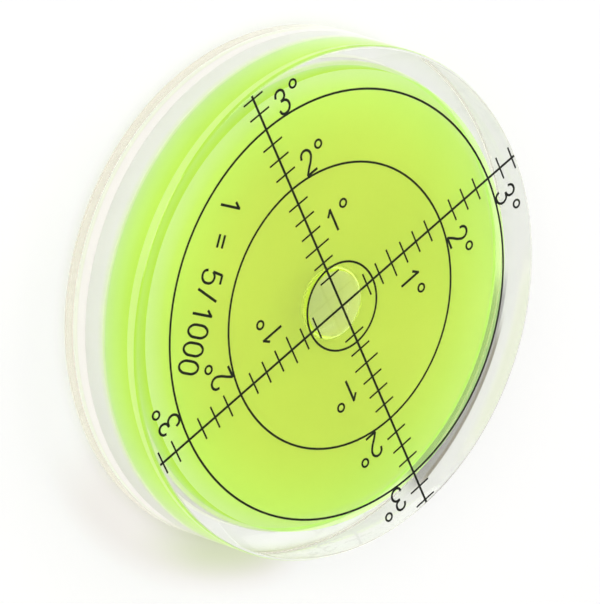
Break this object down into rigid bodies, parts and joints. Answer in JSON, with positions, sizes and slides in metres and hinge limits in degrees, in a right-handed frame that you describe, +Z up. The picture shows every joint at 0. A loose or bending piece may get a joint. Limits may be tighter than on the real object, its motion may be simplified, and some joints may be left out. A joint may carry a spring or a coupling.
{
  "type": "bullseye level",
  "caption": "Round liquid level in a clear acrylic case with an opal base: a bubble under a domed face shows tilt any way on a printed dial of degree circles and a ticked cross.",
  "frame": {"origin": "middle of the foot, on the surface that the level rests on", "axes": "+Z up out of the dial along the case's axis; +X and +Y along the arms of the printed cross"},
  "size_m": [0.06, 0.06, 0.012],
  "materials": {
    "cup_acrylic": "clear moulded acrylic, polished",
    "opal_acrylic": "opal white acrylic sheet, cut to a disc",
    "green_spirit": "clear liquid dyed lime green",
    "black_ink": "screen-printed black ink"
  },
  "bodies": {
    "root": {"clear_cup": "cup_acrylic", "base_disc": "opal_acrylic", "green_spirit": "green_spirit", "dial_print": "black_ink"}
  },
  "joints": []
}
